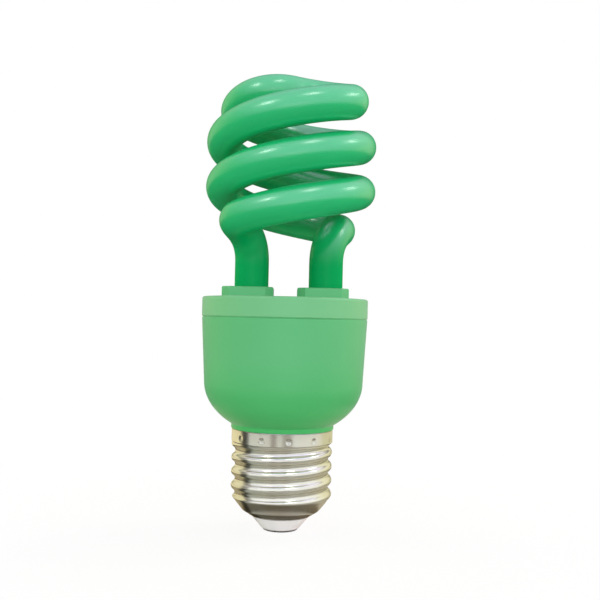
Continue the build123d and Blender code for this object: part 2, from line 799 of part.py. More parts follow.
def lying_part(place, diameter, length, spacing, way, above):
    """A round part lying on the board, under or above it, with both leads bent through the board."""
    surface = board_top if above else board_height
    lift = (diameter / 2 + lying_gap) * (1 if above else -1)
    through = (board_thickness + pin_stub) * (-1 if above else 1)
    low, high = [Vector(x, y, surface) for x, y in spread_pins(place, spacing, way)]
    along = Vector(1, 0, 0) if way == "x" else Vector(0, 1, 0)
    rise, fall = Vector(0, 0, lift), Vector(0, 0, through)
    with BuildPart() as body:
        with BuildLine() as lead:
            FilletPolyline(low + fall, low + rise, high + rise, high + fall, radius=pin_diameter)
        with BuildSketch(Plane(origin=low + fall, z_dir=(0, 0, 1))):
            Circle(pin_diameter / 2)
        sweep(path=lead.line)
        middle = (low + high) / 2 + rise
        with BuildSketch(Plane(origin=middle - along * length / 2, z_dir=along)):
            Circle(diameter / 2)
        extrude(amount=length)
    return body.part


# Rectifier diodes, resistors and the diac
with BuildPart() as rectifier_diodes:
    for place in diode_places:
        add(lying_part(place, diode_diameter, diode_length, diode_pin_spacing, "x", False))
rectifier_diodes.part.label = "rectifier_diodes"
export_step(rectifier_diodes.part, "parts/rectifier_diodes.step")

with BuildPart() as resistors:
    for place in resistor_places:
        add(lying_part(place, resistor_diameter, resistor_length, resistor_pin_spacing, "x", True))
resistors.part.label = "resistors"
export_step(resistors.part, "parts/resistors.step")

with BuildPart() as diac:
    add(lying_part(diac_place, diac_diameter, diac_length, diac_pin_spacing, "y", True))
diac.part.label = "diac"
export_step(diac.part, "parts/diac.step")


# Fuse resistor: stands on one lead, the other comes back beside it
fuse_x, fuse_y = fuse_place
fuse_low = board_height - fuse_gap - fuse_length
fuse_pins = [(fuse_x, fuse_y), (fuse_x, fuse_y - fuse_pin_spacing)]
with BuildPart() as fuse_resistor:
    with BuildLine() as lead:
        FilletPolyline(
            (fuse_x, fuse_y, board_top + pin_stub),
            (fuse_x, fuse_y, fuse_low - 2 * pin_diameter),
            (fuse_x, fuse_y - fuse_pin_spacing, fuse_low - 2 * pin_diameter),
            (fuse_x, fuse_y - fuse_pin_spacing, board_top + pin_stub),
            radius=pin_diameter,
        )
    with BuildSketch(Plane(origin=(fuse_x, fuse_y, board_top + pin_stub), z_dir=(0, 0, -1))):
        Circle(pin_diameter / 2)
    sweep(path=lead.line)
    with BuildSketch(Plane.XY.offset(fuse_low)):
        with Locations(fuse_place):
            Circle(fuse_diameter / 2)
    extrude(amount=fuse_length)
fuse_resistor.part.label = "fuse_resistor"
export_step(fuse_resistor.part, "parts/fuse_resistor.step")


# Thermistor: a disc on edge, on two leads
thermistor_pins = spread_pins(thermistor_place, thermistor_pin_spacing, "y")
thermistor_middle = board_height - thermistor_gap - thermistor_diameter / 2
with BuildPart() as thermistor:
    with BuildSketch(Plane(origin=(*thermistor_place, thermistor_middle), z_dir=(1, 0, 0))):
        Circle(thermistor_diameter / 2)
    extrude(amount=thermistor_thickness / 2, both=True)
    with BuildSketch(Plane.XY.offset(thermistor_middle)):
        with Locations(*thermistor_pins):
            Circle(pin_diameter / 2)
    extrude(amount=board_top + pin_stub - thermistor_middle)
thermistor.part.label = "thermistor"
export_step(thermistor.part, "parts/thermistor.step")


# Toroid transformer: a ring core on edge, with three windings of a few turns
toroid_x, toroid_y = toroid_place
toroid_middle = board_height - toroid_diameter / 2
with BuildPart() as toroid_core:
    with BuildSketch(Plane(origin=(toroid_x, toroid_y, toroid_middle), z_dir=(1, 0, 0))):
        Circle(toroid_diameter / 2)
        Circle(toroid_bore / 2, mode=Mode.SUBTRACT)
    extrude(amount=toroid_thickness / 2, both=True)
toroid_core.part.label = "toroid_core"
export_step(toroid_core.part, "parts/toroid_core.step")

with BuildPart() as toroid_windings:
    wire_radius = toroid_wire_diameter / 2
    loop_width = toroid_thickness + toroid_wire_diameter
    loop_depth = (toroid_diameter - toroid_bore) / 2 + toroid_wire_diameter
    ring_radius = (toroid_diameter + toroid_bore) / 4
    for middle_angle in toroid_wire_angles:
        for turn in range(toroid_turns):
            angle = radians(middle_angle + (turn - (toroid_turns - 1) / 2) * toroid_turn_angle)
            outward = Vector(0, cos(angle), sin(angle))
            centre = Vector(toroid_x, toroid_y, toroid_middle) + outward * ring_radius
            loop_plane = Plane(origin=centre, x_dir=(1, 0, 0), z_dir=Vector(1, 0, 0).cross(outward))
            with BuildLine(loop_plane) as loop:
                corner = (loop_width / 2, loop_depth / 2)
                FilletPolyline(
                    (-corner[0], -corner[1]),
                    (corner[0], -corner[1]),
                    (corner[0], corner[1]),
                    (-corner[0], corner[1]),
                    radius=toroid_wire_bend,
                    close=True,
                )
            with BuildSketch(Plane(origin=loop.line @ 0, z_dir=loop.line % 0)):
                Circle(wire_radius)
            sweep(path=loop.line)
toroid_windings.part.label = "toroid_windings"
export_step(toroid_windings.part, "parts/toroid_windings.step")


# Filter inductor: a drum core on two pins and its winding
inductor_pins = spread_pins(inductor_place, inductor_pin_spacing, "x")
inductor_radius = inductor_diameter / 2
with BuildPart() as inductor_core:
    with BuildSketch(Plane.XY.offset(board_height)):
        with Locations(inductor_place):
            Circle(inductor_radius)
    extrude(amount=-inductor_height)
    with BuildSketch(Plane.XY.offset(board_height - inductor_flange)):
        with Locations(inductor_place):
            Circle(inductor_radius)
            Circle(inductor_waist / 2, mode=Mode.SUBTRACT)
    extrude(amount=2 * inductor_flange - inductor_height, mode=Mode.SUBTRACT)
    extrude(board_pins(inductor_pins), amount=board_thickness + pin_stub)
inductor_core.part.label = "inductor_core"
export_step(inductor_core.part, "parts/inductor_core.step")

with BuildPart() as inductor_winding:
    with BuildSketch(Plane.XY.offset(board_height - inductor_flange)):
        with Locations(inductor_place):
            Circle(inductor_radius - inductor_wire_depth)
            Circle(inductor_waist / 2, mode=Mode.SUBTRACT)
    extrude(amount=2 * inductor_flange - inductor_height)
inductor_winding.part.label = "inductor_winding"
export_step(inductor_winding.part, "parts/inductor_winding.step")


# Live lead: from the board down to the contact's shank
live_x, live_y = live_lead_place
with BuildPart() as live_lead:
    with BuildLine() as route:
        FilletPolyline(
            (live_x, live_y, board_height),
            (live_x, live_y, contact_shank_height + live_bend_high),
            (0, 0, contact_shank_height + live_bend_low),
            (0, 0, contact_shank_height),
            radius=live_bend,
        )
    with BuildSketch(Plane(origin=(live_x, live_y, board_height), z_dir=(0, 0, -1))):
        Circle(lead_wire_diameter / 2)
    sweep(path=route.line)
live_lead.part.label = "live_lead"
export_step(live_lead.part, "parts/live_lead.step")


# Shell lead: from the board through the neck's slot to the inside of the shell's band
shell_x, shell_y = shell_lead_place
slot_radius = slot_reach - lead_wire_diameter
slot_way = Vector(cos(radians(shell_lead_angle)), sin(radians(shell_lead_angle)), 0)
slot_high = slot_way * slot_radius + Vector(0, 0, cap_height + shell_lead_dive)
slot_low = slot_way * slot_radius + Vector(0, 0, cap_height - neck_depth / 2)
band_touch = slot_way * (band_radius - shell_wall) + Vector(0, 0, cap_height - neck_depth / 2)
with BuildPart() as shell_lead:
    with BuildLine() as route:
        FilletPolyline(
            (shell_x, shell_y, board_height),
            (shell_x, shell_y, cap_height + shell_lead_turn),
            slot_high,
            slot_low,
            band_touch,
            radius=[lead_bend, lead_bend, lead_wire_diameter],
        )
    with BuildSketch(Plane(origin=(shell_x, shell_y, board_height), z_dir=(0, 0, -1))):
        Circle(lead_wire_diameter / 2)
    sweep(path=route.line)
shell_lead.part.label = "shell_lead"
export_step(shell_lead.part, "parts/shell_lead.step")


# Circuit board: a disc on the housing's ribs, with a hole for each pin and post
pin_places = [
    *choke_pins,
    *can_pins,
    *spread_pins(resonant_place, film_pin_spacing, "x"),
    *spread_pins(coupling_place, film_pin_spacing, "x"),
    *transistor_pins,
    *fuse_pins,
    *thermistor_pins,
    *inductor_pins,
    *spread_pins(diac_place, diac_pin_spacing, "y"),
]
for place in diode_places:
    pin_places += spread_pins(place, diode_pin_spacing, "x")
for place in resistor_places:
    pin_places += spread_pins(place, resistor_pin_spacing, "x")
with BuildPart() as circuit_board:
    with BuildSketch(Plane.XY.offset(board_height)):
        Circle(housing_inside(board_height) - board_play)
        with Locations(*pin_places):
            Circle(pin_diameter / 2 + pin_play, mode=Mode.SUBTRACT)
        with Locations(*post_places):
            Circle(post_width * sqrt(0.5) + pin_play, mode=Mode.SUBTRACT)
    extrude(amount=board_thickness)
circuit_board.part.label = "circuit_board"
export_step(circuit_board.part, "parts/circuit_board.step")
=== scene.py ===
from math import pi, radians

import bpy
import numpy as np
from mathutils import Matrix, Vector


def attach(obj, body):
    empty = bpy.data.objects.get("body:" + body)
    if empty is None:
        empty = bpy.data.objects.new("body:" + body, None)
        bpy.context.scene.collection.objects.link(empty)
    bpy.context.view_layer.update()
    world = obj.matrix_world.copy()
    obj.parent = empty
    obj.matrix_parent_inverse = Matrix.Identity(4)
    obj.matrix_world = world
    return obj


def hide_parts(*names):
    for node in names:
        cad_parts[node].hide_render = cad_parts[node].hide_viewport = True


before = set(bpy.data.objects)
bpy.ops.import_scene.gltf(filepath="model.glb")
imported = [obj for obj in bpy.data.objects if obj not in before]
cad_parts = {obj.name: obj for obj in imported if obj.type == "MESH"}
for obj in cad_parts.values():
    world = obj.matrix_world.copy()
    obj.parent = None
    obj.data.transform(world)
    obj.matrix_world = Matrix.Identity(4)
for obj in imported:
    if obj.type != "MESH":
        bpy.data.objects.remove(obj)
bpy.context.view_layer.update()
scene = bpy.context.scene
mm = 0.001
print("frame loaded, nodes:", len(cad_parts))

# Camera in front of the glass, a little below its coil, tipped up and turned as the picture is:
# places in millimetres, turns in degrees, and focal, frameWidth and middle in points of the picture
view = {"distance": 226.0, "height": 55.1, "aside": 0.8, "pitch": 1.2, "roll": 1.31,
        "focal": 858.8, "frameWidth": 600.0, "middle": 288.2,
        "sensorWidth": 36.0, "nearest": 0.01, "farthest": 10.0}


# The lens is to the sensor's width as the focal length is to the frame's width
def makeCamera():
    data = bpy.data.cameras.new("camera")
    data.sensor_width = view["sensorWidth"]
    data.lens = view["focal"] / view["frameWidth"] * data.sensor_width
    data.shift_x = (view["frameWidth"] / 2 - view["middle"]) / view["frameWidth"]
    data.clip_start, data.clip_end = view["nearest"], view["farthest"]
    camera = bpy.data.objects.new("camera", data)
    scene.collection.objects.link(camera)
    place = Vector((view["aside"], -view["distance"], view["height"])) * mm
    pitched = Matrix.Rotation(radians(90 + view["pitch"]), 4, "X")
    rolled = Matrix.Rotation(radians(view["roll"]), 4, "Z")
    camera.matrix_world = Matrix.Translation(place) @ (pitched @ rolled)
    scene.camera = camera


makeCamera()
print("camera made")


# Shader maths: a socket with the operators that the finishes use
class Wire:
    def __init__(self, finish, out):
        self.finish, self.out = finish, out

    def __add__(self, other):
        return self.finish.maths("ADD", self, other)

    def __radd__(self, other):
        return self.finish.maths("ADD", other, self)

    def __sub__(self, other):
        return self.finish.maths("SUBTRACT", self, other)

    def __rsub__(self, other):
        return self.finish.maths("SUBTRACT", other, self)

    def __mul__(self, other):
        return self.finish.maths("MULTIPLY", self, other)

    def __truediv__(self, other):
        return self.finish.maths("DIVIDE", self, other)

    def __pow__(self, other):
        return self.finish.maths("POWER", self, other)

    def __gt__(self, other):
        return self.finish.maths("GREATER_THAN", self, other)

    def __lt__(self, other):
        return self.finish.maths("LESS_THAN", self, other)

    def size(self):
        return self.finish.maths("ABSOLUTE", self)

    def wave(self):
        return self.finish.maths("SINE", self)

    def most(self, other):
        return self.finish.maths("MAXIMUM", self, other)


# Tin of the electrical parts' bare leads
tin = {"colour": (0.62, 0.61, 0.58), "roughness": 0.3}


# A finish is one material, or the world's light, while it is made. node() adds any node: its
# settings come first, then the values or links of its sockets.
class Finish:
    def __init__(self, name, kind=bpy.data.materials):
        self.owner = kind.new(name)
        self.owner.use_nodes = True
        self.nodes, self.links = self.owner.node_tree.nodes, self.owner.node_tree.links
        self.nodes.clear()

    def node(self, kind, settings, sockets, output=0):
        made = self.nodes.new(kind)
        for name, value in settings.items():
            if name == "stops":
                for extra in value[2:]:
                    made.color_ramp.elements.new(0.5)
                for stop, (place, colour) in zip(made.color_ramp.elements, value):
                    stop.position, stop.color = place, (*colour, 1.0)
            else:
                setattr(made, name, value)
        for name, value in sockets.items():
            if isinstance(value, Wire):
                self.links.new(value.out, made.inputs[name])
            else:
                made.inputs[name].default_value = value
        return Wire(self, made.outputs[output] if made.outputs else None)

    def maths(self, operation, first, second=0.0):
        return self.node("ShaderNodeMath", {"operation": operation}, {0: first, 1: second})

    def place(self):
        return self.node("ShaderNodeTexCoord", {}, {}, "Object")

    def parts(self, vector):
        return [self.node("ShaderNodeSeparateXYZ", {}, {0: vector}, name) for name in "XYZ"]

    def scaled(self, vector, stretch):
        return self.node("ShaderNodeVectorMath", {"operation": "MULTIPLY"}, {0: vector, 1: stretch})

    # Scales of noise and cells are counts in a metre, and a bump's distance is in metres
    def noise(self, vector, scale, detail=3.0, roughness=0.55):
        return self.node("ShaderNodeTexNoise", {}, {
            "Vector": vector, "Scale": scale, "Detail": detail, "Roughness": roughness})

    # Angle round the object as a share of a turn: 0.5 at the camera, growing towards +X
    def azimuth(self, across, deep):
        return self.maths("ARCTAN2", across, 0.0 - deep) / (2 * pi) + 0.5

    def cells(self, vector, scale):
        return self.node("ShaderNodeTexVoronoi", {}, {"Vector": vector, "Scale": scale}, "Distance")

    def ramp(self, value, stops):
        return self.node("ShaderNodeValToRGB", {"stops": stops}, {0: value})

    def blend(self, share, first, second):
        colours = [(*c, 1.0) if isinstance(c, tuple) else c for c in (first, second)]
        return self.node("ShaderNodeMix", {"data_type": "RGBA"}, {0: share, 6: colours[0], 7: colours[1]}, 2)

    def between(self, value, low, high, first=0.0, second=1.0):
        return self.node("ShaderNodeMapRange", {"interpolation_type": "SMOOTHSTEP"}, {
            0: value, 1: low, 2: high, 3: first, 4: second})

    def bump(self, height, distance, strength=1.0):
        return self.node("ShaderNodeBump", {}, {
            "Height": height, "Distance": distance, "Strength": strength})

    def ray(self, kind):
        return self.node("ShaderNodeLightPath", {}, {}, kind)

    def shown(self, shader, kind="ShaderNodeOutputMaterial"):
        self.node(kind, {}, {"Surface": shader})
        return self.owner

    def done(self, sockets):
        return self.shown(self.node("ShaderNodeBsdfPrincipled", {}, sockets))

    # Finish of a solid that has a body and bare leads: the leads are tinned where the mask is 1
    def leaded(self, lead, body, bodyRoughness, normal):
        return self.done({
            "Base Color": self.blend(lead, body, tin["colour"]), "Metallic": lead,
            "Roughness": bodyRoughness + lead * (tin["roughness"] - bodyRoughness), "Normal": normal})


# Screen colour from 0 to 255 as the linear light that the shaders take
def srgb(red, green, blue):
    share = np.array([red, green, blue]) / 255.0
    linear = np.where(share < 0.04045, share / 12.92, ((share + 0.055) / 1.055) ** 2.4)
    return tuple(float(value) for value in linear)


# Mesh from a grid of points: rows run along the piece, columns go once round it. A pole closes an
# end with a fan. The faces turn outwards: the sum of corner products is the volume, which is above zero.
def gridPiece(name, points, ends=(None, None), looped=False):
    rows, columns = points.shape[:2]
    vertices = points.reshape(-1, 3)
    row = np.arange(rows if looped else rows - 1)[:, None]
    column = np.arange(columns)[None, :]
    nextRow, nextColumn = (row + 1) % rows, (column + 1) % columns
    quads = np.stack([row * columns + column, row * columns + nextColumn,
                      nextRow * columns + nextColumn, nextRow * columns + column], axis=-1).reshape(-1, 4)
    faces = quads.tolist()
    around = np.arange(columns)
    for pole, base, turn in ((ends[0], 0, False), (ends[1], (rows - 1) * columns, True)):
        if pole is not None:
            tip = len(vertices)
            vertices = np.vstack([vertices, pole])
            fan = np.stack([np.full(columns, tip), base + np.roll(around, -1), base + around], axis=-1)
            faces += (fan[:, ::-1] if turn else fan).tolist()
    corners = vertices[quads]
    inward = np.einsum("ij,ij->i", corners[:, 0], np.cross(corners[:, 1], corners[:, 2])).sum() < 0
    if inward:
        faces = [face[::-1] for face in faces]
    mesh = bpy.data.meshes.new(name)
    mesh.from_pydata(vertices.tolist(), [], faces)
    mesh.polygons.foreach_set("use_smooth", np.ones(len(faces), bool))
    piece = bpy.data.objects.new(name, mesh)
    scene.collection.objects.link(piece)
    return piece


# A piece that takes the place of a CAD node
def seat(piece, node, material):
    piece.data.materials.append(material)
    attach(piece, "root")
    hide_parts(node)


# Glass tube: each strand is a leg, a bend, a helix and half of the bridge, as in the solid.
# Sizes are in millimetres and angles in degrees. Each pair of greens is the darker and the paler
# end of a faint clouding.
glass = {"radius": 4.45, "shift": 0.8, "legSpacing": 19.5, "coilRadius": 17.8, "lead": 23.5,
         "start": 48.8, "end": 499.9, "top": 109.595,
         "bridgeTop": 114.595, "bridgeAngle": 35.3, "bridgeEase": 7.4, "bridgeReach": 12.8,
         "bendEase": 6.5, "bendReach": 10.4, "bendDrop": 10.6,
         "legEnd": 49.6, "endChamfer": 1.5, "tip": 1.2, "tipLength": 2.8, "tipTaper": 0.75, "tipRound": 0.35,
         "edgeGap": 0.05, "legGap": 0.8, "legRise": 4.0,
         "columns": 72, "legRows": 10, "bendRows": 44, "helixRows": 190, "bridgeRows": 60,
         "liftStart": 0.8, "liftReach": 0.17,
         "coilGreens": (srgb(0, 176, 100), srgb(14, 184, 112)),
         "legGreens": (srgb(0, 149, 79), srgb(4, 161, 89)),
         "greenFade": (70.0, 82.0), "glossFade": (68.0, 80.0), "legGloss": 0.04}


# Cubic Bezier: the four points weighted by the Bernstein polynomials of the share along it
def bezier(points, shares):
    share = shares[:, None]
    weights = [(1 - share) ** 3, 3 * share * (1 - share) ** 2, 3 * share ** 2 * (1 - share), share ** 3]
    return sum(weight * np.array(point) for weight, point in zip(weights, points))


# Helix: (R cos t, R sin t, z), with z rising one lead in a turn and ending at the coil's top
def helixPoints(angles):
    rise = glass["lead"] / (2 * pi)
    heights = glass["top"] + (angles - radians(glass["end"])) * rise
    radius = glass["coilRadius"]
    return np.stack([radius * np.cos(angles), radius * np.sin(angles), heights], axis=-1)


# One strand from the leg's tip to the middle of the bridge: points along it and the radius at each.
# The helix's way at an angle t is (-R sin t, R cos t, rise), made one long.
def strandPath():
    rise, radius = glass["lead"] / (2 * pi), glass["coilRadius"]
    start, end = radians(glass["start"]), radians(glass["end"])
    helix = helixPoints(np.linspace(start, end, glass["helixRows"]))
    ways = np.array([[-radius * np.sin(t), radius * np.cos(t), rise] for t in (start, end)])
    ways /= np.linalg.norm(ways, axis=1)[:, None]
    legTop = np.array([glass["legSpacing"] / 2, 0, helix[0, 2] - glass["bendDrop"]])
    bend = bezier([legTop, legTop + [0, 0, glass["bendReach"]],
                   helix[0] - ways[0] * glass["bendEase"], helix[0]],
                  np.linspace(0, 1, glass["bendRows"]))
    crossing = radians(glass["bridgeAngle"])
    bridgeWay = np.array([np.cos(crossing), np.sin(crossing), 0])
    middle = np.array([0, 0, glass["bridgeTop"]])
    bridge = bezier([helix[-1], helix[-1] + ways[1] * glass["bridgeEase"],
                     middle - bridgeWay * glass["bridgeReach"], middle],
                    np.linspace(0, 1, glass["bridgeRows"]))
    low, chamfer = glass["legEnd"], glass["endChamfer"]
    tipEnd = low - glass["tipLength"]
    heights = np.concatenate([
        [tipEnd, tipEnd + glass["tipRound"], low - glass["edgeGap"], low],
        [low + chamfer / 2, low + chamfer, low + chamfer + glass["legGap"]],
        np.linspace(low + glass["legRise"], legTop[2], glass["legRows"])[:-1]])
    leg = np.stack([np.full_like(heights, legTop[0]), np.zeros_like(heights), heights], axis=-1)
    path = np.vstack([leg, bend, helix[1:], bridge[1:]])
    full, tip = glass["radius"], glass["tip"]
    ending = [tip * glass["tipTaper"], tip, tip, full - chamfer, full - chamfer / 2]
    sizes = np.full(len(path), full)
    sizes[:len(ending)] = ending
    return path, sizes


# Tube: at each place of the path a circle across its way. The circle's zero line points out from
# the axis along legs and helix and turns up to +Z over the bridge, by 3 s^2 - 2 s^3 of the share s.
# The second strand is the first one, turned half a turn about the axis.
def tubePoints():
    path, sizes = strandPath()
    share = np.arange(len(path)) / (len(path) - 1)
    lift = np.clip((share - glass["liftStart"]) / glass["liftReach"], 0, 1)[:, None]
    lift = lift * lift * (3 - 2 * lift)
    outward = path * [1, 1, 0]
    outward = outward / np.maximum(np.linalg.norm(outward, axis=1), 1e-6)[:, None]
    zeroLine = outward * (1 - lift) + np.array([0, 0, 1.0]) * lift
    path, zeroLine = (np.vstack([half, (half * [-1, -1, 1])[-2::-1]]) for half in (path, zeroLine))
    sizes = np.concatenate([sizes, sizes[-2::-1]])
    ways = np.gradient(path, axis=0)
    ways /= np.linalg.norm(ways, axis=1)[:, None]
    zeroLine = zeroLine - ways * np.sum(zeroLine * ways, axis=1)[:, None]
    zeroLine /= np.linalg.norm(zeroLine, axis=1)[:, None]
    across = np.cross(ways, zeroLine)
    angles = np.linspace(0, 2 * pi, glass["columns"], endpoint=False)[None, :, None]
    circles = np.cos(angles) * zeroLine[:, None, :] + np.sin(angles) * across[:, None, :]
    shift = [glass["shift"], 0, 0]
    points = (path[:, None, :] + circles * sizes[:, None, None] + shift) * mm
    poles = [(path[end] + shift) * mm for end in (0, -1)]
    return points, poles


# Coated glass: deeper green and almost no gloss on the legs, a milky gloss on the coil
def coatedGlass():
    finish = Finish("coatedGlass")
    place = finish.place()
    height = finish.parts(place)[2] / mm
    cloud = finish.noise(place, 60.0, 4.0)
    speck = finish.noise(place, 900.0, 2.0)
    leg = finish.blend(cloud, *glass["legGreens"])
    coil = finish.blend(cloud, *glass["coilGreens"])
    return finish.done({
        "Base Color": finish.blend(finish.between(height, *glass["greenFade"]), leg, coil),
        "Roughness": 0.4 + speck * 0.1, "IOR": 1.5, "Specular IOR Level": 0.0,
        "Coat Weight": finish.between(height, *glass["glossFade"], glass["legGloss"], 1.0),
        "Coat Roughness": 0.28, "Coat IOR": 1.9,
        "Normal": finish.bump(cloud * 0.6 + speck * 0.05, 0.00012, 0.35)})


points, poles = tubePoints()
seat(gridPiece("glass_tube", points, poles), "discharge_tube", coatedGlass())
print("glass tube made")


# Screw cap's shell: rolled metal, a knuckle thread of equal arcs at crest and root, in millimetres.
# outside and inside list stretches of rows: the first height, the last height and how many rows.
# rim lists the height of each of its rows and how far it stands in from the band.
cap = {"wall": 0.35, "crest": 13.15, "root": 12.15, "pitch": 3.63, "crestHeight": 9.5,
       "band": 13.2, "bandLow": 23.0, "bandSlope": 1.1, "bandEase": 0.1,
       "coneTop": 7.75, "coneRun": 4.0, "coneEase": 0.12, "shoulder": 10.2, "shoulderHeight": 5.3,
       "hole": 7.8, "holeHeight": 3.75,
       "crimps": 12, "crimpHeight": 24.4, "crimpRadius": 0.95, "crimpDepth": 0.16, "crimpTurn": 7.5,
       "crimpInside": 0.4, "columns": 336,
       "outside": [(3.75, 5.2, 5), (5.35, 7.4, 8), (7.55, 22.9, 96), (23.05, 26.25, 22)],
       "rim": [(26.36, 0.03), (26.4, 0.11), (26.4, 0.24), (26.36, 0.32)],
       "inside": [(26.25, 22.9, 5), (22.6, 8.2, 56), (7.9, 4.04, 9)],
       "nickels": (srgb(211, 208, 189), srgb(229, 230, 219))}


# Thread radius: along the pitch, a crest arc and a root arc of one radius meet at their tangent. The
# crest's height rises one pitch in a turn. The wall's inset makes the crest arc smaller and the root
# arc larger. For the pitch p and the depth d the arcs meet at the angle 2 atan(2 d / p).
def threadRadius(angles, heights, inset):
    depth = cap["crest"] - cap["root"]
    slope = 2 * np.arctan(2 * depth / cap["pitch"])
    arc = cap["pitch"] / 4 / np.sin(slope)
    turns = (heights - cap["crestHeight"]) / cap["pitch"] - angles / (2 * pi)
    away = np.abs(turns - np.round(turns)) * cap["pitch"]
    crestArc, rootArc = arc - inset, arc + inset
    onCrest = cap["crest"] - arc + np.sqrt(np.maximum(crestArc ** 2 - away ** 2, 0))
    toRoot = cap["pitch"] / 2 - away
    onRoot = cap["root"] + arc - np.sqrt(np.maximum(rootArc ** 2 - toRoot ** 2, 0))
    return np.where(away < crestArc * np.sin(slope), onCrest, onRoot)


# Smallest or largest of two shapes, rounded where they cross: the mean plus or minus half of
# sqrt(difference squared + width squared)
def softPick(first, second, width, largest):
    half = np.sqrt((first - second) ** 2 + width ** 2) / 2
    return (first + second) / 2 + (half if largest else -half)


# Shell wall: thread between a cone below and the band above. A crimp is a round dent whose depth is
# crimpDepth (1 + cos(pi r)) / 2 at the share r of its radius, times what this side shows of dents.
def shellWall(angles, heights, inset, dents):
    thread = threadRadius(angles, heights, inset)
    steep = (cap["root"] - cap["shoulder"]) / (cap["coneTop"] - cap["shoulderHeight"])
    coneHeights = [cap["holeHeight"], cap["shoulderHeight"], cap["coneTop"], cap["coneTop"] + cap["coneRun"]]
    coneRadii = [cap["hole"], cap["shoulder"], cap["root"], cap["root"] + cap["coneRun"] * steep]
    lowCone = np.interp(heights, coneHeights, coneRadii) - inset
    bandCone = cap["band"] - inset - np.maximum(cap["bandLow"] - heights, 0) * cap["bandSlope"]
    radius = softPick(thread, lowCone, cap["coneEase"], False)
    radius = np.minimum(softPick(radius, bandCone, cap["bandEase"], True), cap["band"] - inset)
    step = 2 * pi / cap["crimps"]
    turned = (angles - radians(cap["crimpTurn"]) + step / 2) % step - step / 2
    reach = np.hypot(turned * cap["band"], heights - cap["crimpHeight"]) / cap["crimpRadius"]
    return radius - dents * cap["crimpDepth"] * np.where(reach < 1, 0.5 + 0.5 * np.cos(pi * reach), 0)


# Shell: up the outside, over the rounded rim and down the inside, one ring of points at each height:
# (r cos t, r sin t, z). The last ring joins the first round the hole's edge.
def shellPoints():
    angles = np.linspace(0, 2 * pi, cap["columns"], endpoint=False)[None, :]
    outer, inner = (np.concatenate([np.linspace(*rows) for rows in cap[side]])[:, None]
                    for side in ("outside", "inside"))
    outside = shellWall(angles, outer, 0.0, 1.0)
    inside = shellWall(angles, inner, cap["wall"], cap["crimpInside"])
    inside = np.minimum(inside, np.max(outside) - cap["wall"])
    rimHeights, rimInsets = np.array(cap["rim"]).T[:, :, None]
    radii = np.vstack([outside, cap["band"] - rimInsets + 0 * angles, inside])
    heights = np.vstack([outer, rimHeights, inner]) + 0 * angles
    return np.stack([radii * np.cos(angles), radii * np.sin(angles), heights], axis=-1) * mm


# Rolled nickel: fine marks that run round the cap, over soft clouds
def rolledNickel():
    finish = Finish("rolledNickel")
    place = finish.place()
    rolled = finish.noise(finish.scaled(place, (40.0, 40.0, 900.0)), 1.0, 3.0)
    cloud = finish.noise(place, 130.0, 4.0)
    return finish.done({
        "Base Color": finish.blend(cloud, *cap["nickels"]), "Metallic": 1.0,
        "Roughness": 0.1 + cloud * 0.12 + rolled * 0.06,
        "Normal": finish.bump(rolled * 0.4 + cloud * 0.6, 0.00006, 0.4)})


seat(gridPiece("cap_shell", shellPoints(), looped=True), "screw_shell", rolledNickel())
print("screw cap made")


# Ballast housing and its cover: greens of the bowl, wall, cover and pads, and the heights in
# millimetres where the bowl's fades into the wall's and where cover and pads begin. The bowl's
# deeper green is painted shade and the wall's paler green is painted sheen.
housing = {"bowl": (srgb(55, 171, 88), srgb(67, 179, 98)),
           "wall": (srgb(80, 175, 109), srgb(92, 183, 119)),
           "cover": (srgb(102, 181, 121), srgb(112, 188, 131)),
           "pads": (srgb(82, 176, 112), srgb(94, 183, 121)),
           "shadeToSheenFade": (28.0, 46.0), "coverLow": 55.1, "padsLow": 60.4}


# Moulded plastic: faint cloudiness and a fine eroded texture
def mouldedGreen():
    finish = Finish("mouldedGreen")
    place = finish.place()
    height = finish.parts(place)[2] / mm
    cloud = finish.noise(place, 45.0, 3.0)
    grain = finish.noise(place, 2600.0, 2.0)
    pits = finish.cells(place, 1500.0)
    bowl = finish.blend(cloud, *housing["bowl"])
    wall = finish.blend(cloud, *housing["wall"])
    cover = finish.blend(cloud, *housing["cover"])
    pads = finish.blend(cloud, *housing["pads"])
    # Painted shade and sheen: the bowl's deeper green fades up into the wall's paler green
    colour = finish.blend(finish.between(height, *housing["shadeToSheenFade"]), bowl, wall)
    colour = finish.blend(height > housing["coverLow"], colour, cover)
    colour = finish.blend(height > housing["padsLow"], colour, pads)
    return finish.done({
        "Base Color": colour, "Roughness": 0.36 + grain * 0.14, "IOR": 1.58, "Specular IOR Level": 0.32,
        "Sheen Weight": 0.22, "Sheen Roughness": 0.35,
        "Normal": finish.bump(grain * 0.6 + pits * 0.4, 0.00005, 0.5)})


# Insulator: pale and faintly clouded
def insulatorGrey():
    finish = Finish("insulatorGrey")
    place = finish.place()
    cloud = finish.noise(place, 180.0, 4.0)
    colour = finish.blend(cloud, srgb(243, 243, 244), srgb(250, 250, 249))
    return finish.done({
        "Base Color": colour, "Roughness": 0.3 + cloud * 0.15, "Normal": finish.bump(cloud, 0.00008, 0.4)})


# Contact: faint turned rings, a sine of the distance from the axis
def contactNickel():
    finish = Finish("contactNickel")
    place = finish.place()
    across, deep = finish.parts(place)[:2]
    rings = ((across * across + deep * deep) ** 0.5 * 14000.0).wave()
    cloud = finish.noise(place, 500.0, 4.0)
    return finish.done({
        "Base Color": finish.blend(cloud, srgb(186, 182, 170), srgb(216, 212, 202)), "Metallic": 1.0,
        "Roughness": 0.2 + cloud * 0.2, "Normal": finish.bump(rings * 0.15 + cloud, 0.00004, 0.5)})


